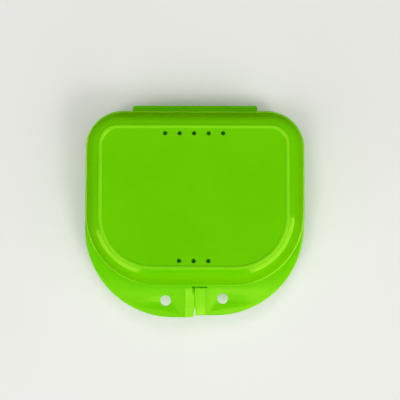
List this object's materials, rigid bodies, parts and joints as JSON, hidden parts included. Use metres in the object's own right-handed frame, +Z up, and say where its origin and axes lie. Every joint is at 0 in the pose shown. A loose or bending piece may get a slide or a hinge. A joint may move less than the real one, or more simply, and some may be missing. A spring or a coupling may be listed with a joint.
{
  "type": "orthodontic retainer case",
  "caption": "Shallow rounded clamshell case with a film hinge behind, a vented beaded lid and a snap latch between two half-crescent thumb tabs.",
  "frame": {"origin": "middle of the shut case's box, on the surface that it stands on", "axes": "+Z up through the lid, +Y from the latch to the hinge, +X to the right as seen from the latch"},
  "size_m": [0.08, 0.0775, 0.028],
  "materials": {
    "lime_polypropylene": "glossy moulded, lime green"
  },
  "bodies": {
    "base": {"base_tray": "lime_polypropylene", "base_thumb_tab": "lime_polypropylene", "base_hinge_leaf": "lime_polypropylene", "living_hinge": "lime_polypropylene"},
    "lid": {"lid_shell": "lime_polypropylene", "lid_thumb_tab": "lime_polypropylene", "lid_latch_hook": "lime_polypropylene", "lid_hinge_leaf": "lime_polypropylene"},
    "tongue": {"latch_tongue": "lime_polypropylene"}
  },
  "joints": [
    {"name": "lid_hinge", "type": "hinge", "parent": "base", "child": "lid", "pos_m": [0, 0.0385, 0.014], "axis": [-1, 0, 0], "range_deg": [0, 180], "deforming": ["living_hinge"]},
    {"name": "tongue_flex", "type": "hinge", "parent": "base", "child": "tongue", "pos_m": [0.0041, -0.0328, 0.014], "axis": [0, 1, 0], "range_deg": [0, 20], "stiffness_Nm_per_rad": 0.05}
  ]
}
